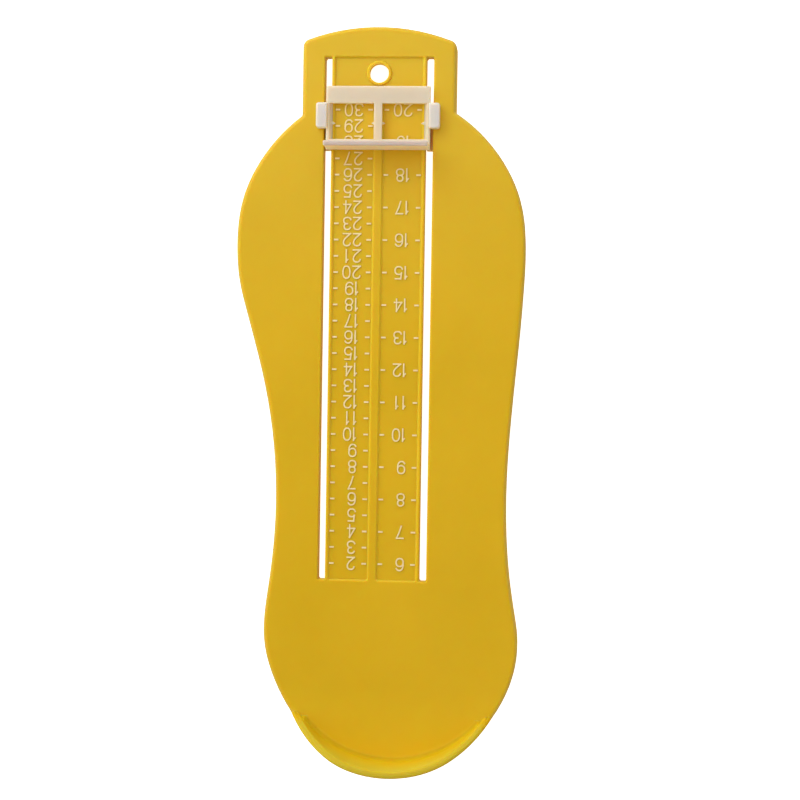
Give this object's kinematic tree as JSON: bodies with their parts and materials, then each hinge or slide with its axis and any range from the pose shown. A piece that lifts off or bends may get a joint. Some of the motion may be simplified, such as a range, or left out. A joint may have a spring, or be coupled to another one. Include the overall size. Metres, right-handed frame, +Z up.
{
  "type": "foot measuring device",
  "caption": "Moulded foot-shaped plate with a heel cup and a ruler strip between two guide slots, and a snap-in slide whose toe stop is pushed up to the toes.",
  "frame": {"origin": "bottom centre of the whole object's box, where the plate's skirt stands on the table", "axes": "+Y along the ruler from the heel cup to the hanging tab, +Z up out of the surface that the foot stands on, +X to the right for someone who looks down with the hanging tab away from them"},
  "size_m": [0.0894, 0.2287, 0.0219],
  "materials": {
    "plate_plastic": "injection-moulded yellow plastic, semi-gloss",
    "slide_plastic": "milky, slightly translucent white plastic, soft gloss",
    "white_print": "white foil stamped on raised marks"
  },
  "bodies": {
    "plate": {"foot_plate": "plate_plastic", "size_graduations": "white_print", "centimetre_graduations": "white_print"},
    "slide": {"measuring_slide": "slide_plastic"}
  },
  "joints": [
    {"name": "slide_travel", "type": "slide", "parent": "plate", "child": "slide", "axis": [0, 1, 0], "range_m": [-0.1328, 0.0141]}
  ]
}
